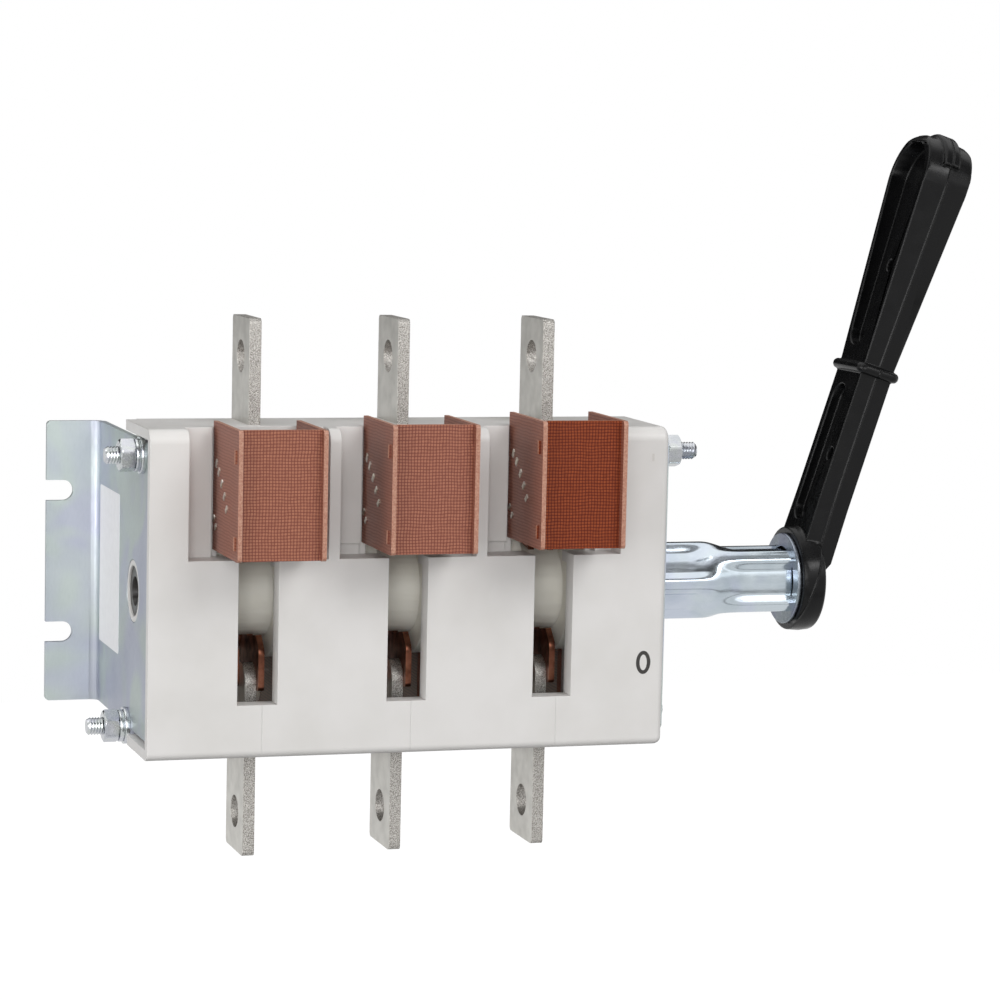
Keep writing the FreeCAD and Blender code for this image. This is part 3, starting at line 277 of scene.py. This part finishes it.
# Coated label paper and screen-printed ink: matt and thin, with a faintly uneven coat
def mattCoat(name, color, shade, roughness, grain):
    m, tree, shader = startMaterial(name, color, roughness)
    at = addNode(tree, "TexCoord", out="Object")
    coat = addNode(tree, "TexNoise", {"Vector": at, "Scale": 1 / grain, "Detail": 3.0})
    coat = addNode(tree, "MapRange", {"Value": coat, "From Min": 0.35, "From Max": 0.7})
    addNode(tree, "Mix", {0: coat, 6: linear(color), 7: linear(shade)}, 2, shader["Base Color"],
            data_type="RGBA")
    addNode(tree, "MapRange", {"Value": coat, "To Min": roughness - 0.05,
                               "To Max": roughness + 0.05}, to=shader["Roughness"])
    return m


greyPolyester = mouldedPolyester("greyPolyester", "#dad8d6", "#d3d1ce", 0.42)
creamPolyester = mouldedPolyester("creamPolyester", "#f0eee5", "#e6e3d8", 0.36)
# a dark copy of the polyester: painted shade on the drum's left journal, deep in the bracket's hole
shadedJournalPolyester = mouldedPolyester("shadedJournalPolyester", "#2b2723", "#1c1916", 0.35)
blackNylon = mouldedNylon()
zincSheet = blueZinc("zincSheet", "#afbdc3", "#a0aeb8", 0.46, 30 * mm, (1, 1, 0.3), 0.22)
zincDisc = blueZinc("zincDisc", "#8793a0", "#74818f", 0.3, 20 * mm)
zincTube = blueZinc("zincTube", "#cfdbe6", "#b5c4d2", 0.16, 16 * mm, (0.15, 1, 1))
zincBolts = blueZinc("zincBolts", "#d2d7da", "#c3cace", 0.22, 5 * mm, relief=0.002 * mm)
zincSplitters = blueZinc("zincSplitters", "#e6e2d6", "#c9c6ba", 0.3, 4 * mm)
tinned = tinnedCopper()
copper = rolledCopper()
sideCloth = clothLaminate("sideCloth", "#9c6652", "#713c2e", "X", 0.42)
# a darker copy of the chute laminate for the rear chutes deep in the slots: painted shade
shadedRearCloth = clothLaminate("shadedRearCloth", "#6e4535", "#43231a", "X", 0.5, 0.3, "#805545")
frontCloth = [clothLaminate("frontClothLeft", "#a4694f", "#71382a", "Y", 0.5, 0.35),
              clothLaminate("frontClothMiddle", "#a36850", "#6f372a", "Y", 0.5, 0.35),
              clothLaminate("frontClothRight", "#904525", "#5a2011", "Y", 0.45, 0.15)]
labelPaper = mattCoat("labelPaper", "#f3f3f5", "#eeeef0", 0.45, 3 * mm)
printInk = mattCoat("printInk", "#292726", "#35322f", 0.5, 0.6 * mm)
# faint grey for the "I" mark: painted shade of an embossed mark
reliefShadeGrey = mattCoat("reliefShadeGrey", "#c8c5c1", "#d0cdc9", 0.45, 0.6 * mm)
print("stage: materials")

# the last length is how far in from the end housing's left face the journal's painted shade reaches
edgeSizes = {"weld": 0.002 * mm, "segments": 2, "angle": 40, "shadedJournalLength": 14 * mm}


# Gives a CAD node its material and, where its triangles allow, slightly broken edges
def finishNode(name, material, edge):
    o = nodes[name]
    o.data.materials.clear()
    o.data.materials.append(material)
    if edge:
        joined = o.modifiers.new("joinedTriangles", "WELD")
        joined.merge_threshold = edgeSizes["weld"]
        broken = o.modifiers.new("brokenEdge", "BEVEL")
        broken.width = edge
        broken.segments = edgeSizes["segments"]
        broken.limit_method = "ANGLE"
        broken.angle_limit = math.radians(edgeSizes["angle"])
        broken.harden_normals = True
        broken.use_clamp_overlap = "lever" not in name


# The first word that a node's name holds gives its material and how far its edges are broken
finishes = {"housing": (greyPolyester, 0), "bracket": (zincSheet, 0.2 * mm),
            "terminal": (tinned, 0.3 * mm), "rear_left": (shadedRearCloth, 0.08 * mm),
            "rear_right": (shadedRearCloth, 0.08 * mm), "drum": (creamPolyester, 0.3 * mm),
            "knife": (copper, 0.2 * mm), "splitter": (zincSplitters, 0.08 * mm),
            "plate": (sideCloth, 0.08 * mm), "washers": (zincBolts, 0.15 * mm),
            "nuts": (zincBolts, 0), "studs": (zincBolts, 0), "tube": (zincTube, 0),
            "disc": (zincDisc, 0.3 * mm), "lever": (blackNylon, 0.4 * mm)}
for name in nodes:
    finishNode(name, *next(finish for word, finish in finishes.items() if word in name))
# each front plate takes its own laminate; the rear end plates take the darker copy, painted shade
for pole, cloth in zip(poles, frontCloth):
    nodes["chute_front_plate_" + pole].data.materials[0] = cloth
    nodes["rear_end_plate_" + pole].data.materials[0] = shadedRearCloth
# the left journal, seen through the bracket's hole, takes a dark copy of the drum's polyester:
# painted shade for the deep hole
journal = nodes["insulating_drum_one"].data
journal.materials.append(shadedJournalPolyester)
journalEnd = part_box("left_end_housing")[0][0] + edgeSizes["shadedJournalLength"]
for face in journal.polygons:
    if face.center.x < journalEnd:
        face.material_index = 1
print("stage: CAD nodes finished")


# Makes a bmesh an object of one material, in the place where it stands
def makeObject(name, bm, material):
    mesh = bpy.data.meshes.new(name)
    bm.to_mesh(mesh)
    bm.free()
    mesh.materials.append(material)
    o = bpy.data.objects.new(name, mesh)
    scene.collection.objects.link(o)
    return o


# A piece of the switch: smooth, sharp where its faces meet at more than angle, on a body
def makePiece(name, bm, material, body, angle=35):
    bmesh.ops.recalc_face_normals(bm, faces=bm.faces[:])
    o = makeObject(name, bm, material)
    for face in o.data.polygons:
        face.use_smooth = True
    o.data.set_sharp_from_angle(angle=math.radians(angle))
    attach(o, body)
    return o


def vertsIn(geom):
    return [g for g in geom if isinstance(g, bmesh.types.BMVert)]


# The edges that run round a ring of vertices
def edgesRound(ring):
    return list(dict.fromkeys(e for v in ring for e in v.link_edges if e.other_vert(v) in ring))


# A circle round a line along X, pulled out to the given places; gives back its rings
def ringsAlongX(bm, places, radius, segments, y, z):
    turnToX = Matrix.Translation((places[0], y, z)) @ Matrix.Rotation(math.radians(90), 4, "Y")
    ring = bmesh.ops.create_circle(bm, segments=segments, radius=radius, matrix=turnToX)["verts"]
    rings = [ring]
    edges = edgesRound(ring)
    for before, after in zip(places, places[1:]):
        pulled = bmesh.ops.extrude_edge_only(bm, edges=edges)["geom"]
        edges = [g for g in pulled if isinstance(g, bmesh.types.BMEdge)]
        rings.append(vertsIn(pulled))
        bmesh.ops.translate(bm, verts=rings[-1], vec=(after - before, 0, 0))
    return rings


# Where a CAD fastener lies: its two ends along X, and its middle in Y and Z
def placeOf(corners):
    spans = [(min(c[k] for c in corners), max(c[k] for c in corners)) for k in range(3)]
    return *spans[0], sum(spans[1]) / 2, sum(spans[2]) / 2


# Rises smoothly from 0 at low to 1 at high
def smoothStep(low, high, value):
    t = min(1.0, max(0.0, (value - low) / (high - low)))
    return t * t * (3 - 2 * t)


# Drive tube: cold pressed on to a square at each end, so its flutes run out in soft shoulders.
# A flute is pressed to floor, crowned, within flat degrees of its middle and ends at land degrees;
# leftEnd and rightStart are where the two sets run out, in mm from the middle pole.
tubeSizes = {"floor": 10.4 * mm, "crown": 0.6, "wall": 2.0 * mm, "flat": 22, "land": 39,
             "leftEnd": (108.0, 119.0), "rightStart": (115.0, 129.0), "between": 90,
             "leftTurn": 45, "rightTurn": 0, "segments": 180, "step": 1.1 * mm}


def driveTube():
    s = tubeSizes
    low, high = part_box("drive_tube")
    radius = (high[2] - low[2]) / 2
    count = int((high[0] - low[0]) / s["step"])
    places = [low[0] + (high[0] - low[0]) * i / count for i in range(count + 1)]
    bm = bmesh.new()
    ringsAlongX(bm, places, radius, s["segments"], shaftY, shaftZ)
    half = s["between"] / 2
    for v in bm.verts:
        u, w = v.co.y - shaftY, v.co.z - shaftZ
        angle = math.degrees(math.atan2(w, u))
        x = (v.co.x - middlePoleX) / mm
        pressed = 0.0
        for turn, share in ((s["leftTurn"], 1 - smoothStep(*s["leftEnd"], x)),
                            (s["rightTurn"], smoothStep(*s["rightStart"], x))):
            off = abs((angle - turn + half) % s["between"] - half)
            bottom = s["floor"] / math.cos(math.radians(s["crown"] * min(off, s["land"])))
            depth = max(0.0, radius - bottom) * (1 - smoothStep(s["flat"], s["land"], off))
            pressed = max(pressed, depth * share)
        v.co.y = shaftY + u * (radius - pressed) / radius
        v.co.z = shaftZ + w * (radius - pressed) / radius
    bmesh.ops.recalc_face_normals(bm, faces=bm.faces[:])
    bmesh.ops.solidify(bm, geom=bm.faces[:], thickness=s["wall"])
    piece = makePiece("pressed_tube", bm, zincTube, "rotor", 40)
    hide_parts("drive_tube")


driveTube()
print("stage: drive tube")

# M6 studs: plain between the nuts, coarse thread of 1 mm pitch at both ends, and tapered tips.
# tips gives the share of the radius at the outermost rings.
studSizes = {"r": 3.0 * mm, "root": 2.55 * mm, "pitch": 1.0 * mm, "thread": 16 * mm,
             "segments": 40, "ringsPerPitch": 4, "tips": {0: 0.78, 1: 0.88}, "squareRings": 3,
             "lean": 0.5}


def threadedStuds():
    s = studSizes
    bm = bmesh.new()
    source = nodes["tie_studs"].data.vertices
    threadRings = int(s["thread"] / s["pitch"]) * s["ringsPerPitch"]
    ends = [i * s["pitch"] / s["ringsPerPitch"] for i in range(threadRings + 1)]
    for upper in (True, False):
        x0, x1, y, z = placeOf([v.co for v in source if (v.co.z > 0) == upper])
        places = [x0 + e for e in ends] + [x1 - e for e in reversed(ends)]
        rings = ringsAlongX(bm, places, s["r"], s["segments"], y, z)
        for i, ring in enumerate(rings):
            k = min(i, len(rings) - 1 - i)
            cut = 0.5 * (1 - math.cos(k * 2 * math.pi / s["ringsPerPitch"]))
            radius = s["r"] - (s["r"] - s["root"]) * (cut if k < threadRings else 0.0)
            share = radius / s["r"] * s["tips"].get(k, 1.0)
            bmesh.ops.scale(bm, verts=ring, vec=(1, share, share),
                            space=Matrix.Translation((0, -y, -z)))
        for ring in (rings[0], rings[-1]):
            bmesh.ops.contextual_create(bm, geom=edgesRound(ring))
        # a right-hand thread leans by part of a pitch over its width; tips and shank stay square
        for i, ring in enumerate(rings):
            if s["squareRings"] <= min(i, len(rings) - 1 - i) < threadRings:
                for v in ring:
                    v.co.x += (v.co.z - z) / (2 * s["r"]) * s["pitch"] * s["lean"]
    piece = makePiece("threaded_studs", bm, zincBolts, "frame", 50)
    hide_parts("tie_studs")


threadedStuds()

# M6 nuts: hexagons whose corners are turned off at 30 degrees on both faces. face is the radius
# of the flat face, and rings are the depths below it, in mm, at which the shape is drawn.
nutSizes = {"flats": 10 * mm, "face": 4.75 * mm, "turnedOff": 30, "segments": 72,
            "bore": 2.9 * mm, "rings": (0.0, 0.15, 0.3, 0.45, 0.6, 0.8)}


# Moves a vertex to a radius round the line along X through y and z
def toRadius(v, radius, y, z):
    spoke = Vector((0, v.co.y - y, v.co.z - z)).normalized() * radius
    v.co.y, v.co.z = y + spoke.y, z + spoke.z


def tieNuts():
    s = nutSizes
    bm = bmesh.new()
    source = nodes["tie_nuts"].data.vertices
    slope = math.tan(math.radians(90 - s["turnedOff"]))
    side = math.pi / 3
    for left, upper in ((True, True), (True, False), (False, True), (False, False)):
        own = [v.co for v in source if (v.co.x < 0) == left and (v.co.z > 0) == upper]
        x0, x1, y, z = placeOf(own)
        corner = max(own, key=lambda c: (c.y - y) ** 2 + (c.z - z) ** 2)
        start = math.atan2(corner.z - z, corner.y - y)
        places = [x0 + r * mm for r in s["rings"]] + [x1 - r * mm for r in reversed(s["rings"])]
        rings = ringsAlongX(bm, places, s["flats"] / 2, s["segments"], y, z)
        for i, ring in enumerate(rings):
            crown = s["face"] + s["rings"][min(i, len(rings) - 1 - i)] * mm * slope
            for v in ring:
                angle = (math.atan2(v.co.z - z, v.co.y - y) - start) % side - side / 2
                toRadius(v, min(crown, s["flats"] / 2 / math.cos(angle)), y, z)
        for ring in (rings[0], rings[-1]):
            for v in vertsIn(bmesh.ops.extrude_edge_only(bm, edges=edgesRound(ring))["geom"]):
                toRadius(v, s["bore"], y, z)
    piece = makePiece("hexagon_nuts", bm, zincBolts, "frame", 24)
    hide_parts("tie_nuts")


tieNuts()
print("stage: fasteners")


# A box with the edges that run along one axis rounded
def roundedBox(middle, size, axis, radius, segments):
    bm = bmesh.new()
    scaled = Matrix.Diagonal((*size, 1.0))
    bmesh.ops.create_cube(bm, size=1.0, matrix=Matrix.Translation(middle) @ scaled)
    along = [e for e in bm.edges
             if abs(e.verts[0].co[axis] - e.verts[1].co[axis]) > size[axis] / 2]
    bmesh.ops.bevel(bm, geom=along, offset=radius, affect="EDGES", segments=segments, profile=0.5,
                    material=-1)
    return bm


# Paper label on the left bracket's web, left bare; it keeps clear of the fold
labelSizes = {"y": (-40 * mm, -2.5 * mm), "z": (-27.5 * mm, 27.5 * mm), "thick": 0.12 * mm,
              "fold": 3.0 * mm, "web": 18.5 * mm, "corner": 1.0 * mm}


def bareLabel():
    s = labelSizes
    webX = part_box("left_mounting_bracket")[0][0] + s["web"]
    front, back = s["y"][0], s["y"][1] - s["fold"]
    size = (s["thick"], back - front, s["z"][1] - s["z"][0])
    middle = (webX - s["thick"] / 2, (front + back) / 2, sum(s["z"]) / 2)
    makePiece("bare_label", roundedBox(middle, size, 0, s["corner"], 4), labelPaper, "frame")


bareLabel()

# "0", printed, and "I", a faint grey that paints the shade of an embossed mark, both on the right
# end of the front face. Places are in mm from the middle pole and from Z = 0, and sizes in mm; only
# the ink's thickness is in metres.
markSizes = {"zeroAt": (82.0, -25.4), "zeroHalf": (1.95, 3.35), "stroke": 1.3, "segments": 48,
             "oneAt": (83.7, 44.8), "oneSize": (0.8, 2.6), "corner": 0.15, "ink": 0.05 * mm}


def frontFaceMarks():
    s = markSizes
    y = frontY - s["ink"] / 2
    zero, one = ((middlePoleX + s[at][0] * mm, y, s[at][1] * mm) for at in ("zeroAt", "oneAt"))
    upright = Matrix.Rotation(math.radians(90), 4, "X")
    bm = bmesh.new()
    loops = []
    for grow in (0.5, -0.5):
        wide, high = ((half + grow * s["stroke"]) * mm for half in s["zeroHalf"])
        oval = Matrix.Translation(zero) @ Matrix.Diagonal((wide, 1.0, high, 1.0)) @ upright
        loops += edgesRound(bmesh.ops.create_circle(bm, segments=s["segments"], radius=1.0,
                                                    matrix=oval)["verts"])
    bmesh.ops.bridge_loops(bm, edges=loops)
    pulled = bmesh.ops.extrude_face_region(bm, geom=bm.faces[:])["geom"]
    bmesh.ops.translate(bm, verts=vertsIn(pulled), vec=(0, s["ink"], 0))
    makePiece("open_mark", bm, printInk, "frame")
    size = (s["oneSize"][0] * mm, s["ink"], s["oneSize"][1] * mm)
    makePiece("closed_mark", roundedBox(one, size, 1, s["corner"] * mm, 2), reliefShadeGrey, "frame")


frontFaceMarks()
print("stage: label and marks")

# Studio: white all round to the eye, a broad light high on the right, a soft one by the camera, a
# weak one above and one far on the left. A light is: place, width and height in metres, watts.
studio = {"ambient": 0.31, "floorAmbient": 0.21, "reflected": 0.8, "floorZ": -1.1,
          "floorHalf": 6.0, "lightsAimAt": (0, shaftY, 0), "cardsAimAt": (0.1, shaftY, 0)}
softLights = {"keyLight": ((0.75, -1.3, 1.15), (0.9, 0.9), 15.0),
              "fillLight": ((-0.45, -1.65, 0.3), (0.7, 0.7), 9.3),
              "topLight": ((-0.4, -0.15, 1.25), (0.6, 0.6), 2.2),
              "leftLight": ((-1.6, -0.75, 0.25), (0.8, 1.0), 13.0)}
# Cards that only reflections see: they draw the bright and dark bands along the tube
reflectionCards = {"brightStripFront": ((0.5, -1.0, 0.3), (2.5, 0.2), 1.4),
                   "darkCardAbove": ((0.3, -0.72, 0.82), (3.0, 0.46), 0.1),
                   "greyCardAbove": ((0.3, -0.46, 0.96), (3.0, 0.3), 0.35),
                   "brightCardTop": ((0.2, 0.2, 1.06), (2.2, 1.0), 1.2),
                   "greyStripLow": ((0.35, -0.85, -0.45), (3.0, 0.12), 0.35),
                   "darkCardBack": ((0.3, 0.9, 0.32), (3.0, 0.66), 0.02)}


# White to the camera, a set grey in reflections, and ambient light for all the rest
def whiteSurround(tree, ambient, to):
    rays = addNode(tree, "LightPath").node.outputs
    seen = addNode(tree, "Math", {0: rays["Is Glossy Ray"], 1: studio["reflected"]},
                   operation="MULTIPLY")
    for other in (rays["Is Camera Ray"], rays["Is Transmission Ray"]):
        seen = addNode(tree, "Math", {0: seen, 1: other}, operation="MAXIMUM")
    addNode(tree, "Math", {0: seen, 1: ambient}, to=to, operation="MAXIMUM")


# A flat sheet round the origin that isn't part of the switch
def sheetObject(name, material, half, matrix):
    bm = bmesh.new()
    bmesh.ops.create_grid(bm, x_segments=1, y_segments=1, size=half, matrix=matrix)
    return makeObject(name, bm, material)


# Places a light or card so that its -Z looks at the target
def aim(o, at, target):
    at, target = Vector(at), Vector(target)
    turned = (target - at).to_track_quat("-Z", "Y").to_matrix().to_4x4()
    o.matrix_world = Matrix.Translation(at) @ turned


world = bpy.data.worlds.new("whiteStudio")
scene.world = world
world.use_nodes = True
background = world.node_tree.nodes["Background"].inputs
background["Color"].default_value = (1, 1, 1, 1)
whiteSurround(world.node_tree, studio["ambient"], background["Strength"])

floorMaterial, floorTree, floorShader = startMaterial("paleFloor", "#000000", 0.8)
floorShader["Emission Color"].default_value = (1, 1, 1, 1)
whiteSurround(floorTree, studio["floorAmbient"], floorShader["Emission Strength"])
floor = sheetObject("floor", floorMaterial, studio["floorHalf"],
                    Matrix.Translation((0, 0, studio["floorZ"])))

for name, (at, size, power) in softLights.items():
    lamp = bpy.data.lights.new(name, "AREA")
    lamp.shape = "RECTANGLE"
    lamp.size, lamp.size_y = size
    lamp.energy = power
    o = bpy.data.objects.new(name, lamp)
    scene.collection.objects.link(o)
    aim(o, at, studio["lightsAimAt"])

for name, (at, size, strength) in reflectionCards.items():
    cardMaterial, _, cardShader = startMaterial(name, "#000000", 1.0)
    cardShader["Emission Color"].default_value = (1, 1, 1, 1)
    cardShader["Specular IOR Level"].default_value = 0.0
    cardShader["Emission Strength"].default_value = strength
    o = sheetObject(name, cardMaterial, 0.5, Matrix.Diagonal((*size, 1, 1)))
    aim(o, at, studio["cardsAimAt"])
    o.visible_camera = o.visible_diffuse = o.visible_shadow = o.visible_transmission = False

# Camera: a long lens, placed by fitting the slots, the terminals' ends and the body's corners.
# from is in mm from the middle pole's foot on the panel; the turns are in radians.
cameraSizes = {"lens": 124.2, "sensor": 36, "from": (-315.03, -1192.79, 158.39),
               "yaw": 0.3052, "pitch": 0.1107, "roll": 0.02236}
camera = bpy.data.cameras.new("camera")
camera.lens = cameraSizes["lens"]
camera.sensor_width = cameraSizes["sensor"]
eye = bpy.data.objects.new("camera", camera)
scene.collection.objects.link(eye)
place = Vector(cameraSizes["from"]) * mm + Vector((middlePoleX, 0, 0))
yaw = Matrix.Rotation(-cameraSizes["yaw"], 4, "Z")
pitch = Matrix.Rotation(math.radians(90) - cameraSizes["pitch"], 4, "X")
roll = Matrix.Rotation(cameraSizes["roll"], 4, "Z")
eye.matrix_world = Matrix.Translation(place) @ yaw @ pitch @ roll
scene.camera = eye
scene.view_settings.view_transform = "Standard"
print("stage: studio and camera")
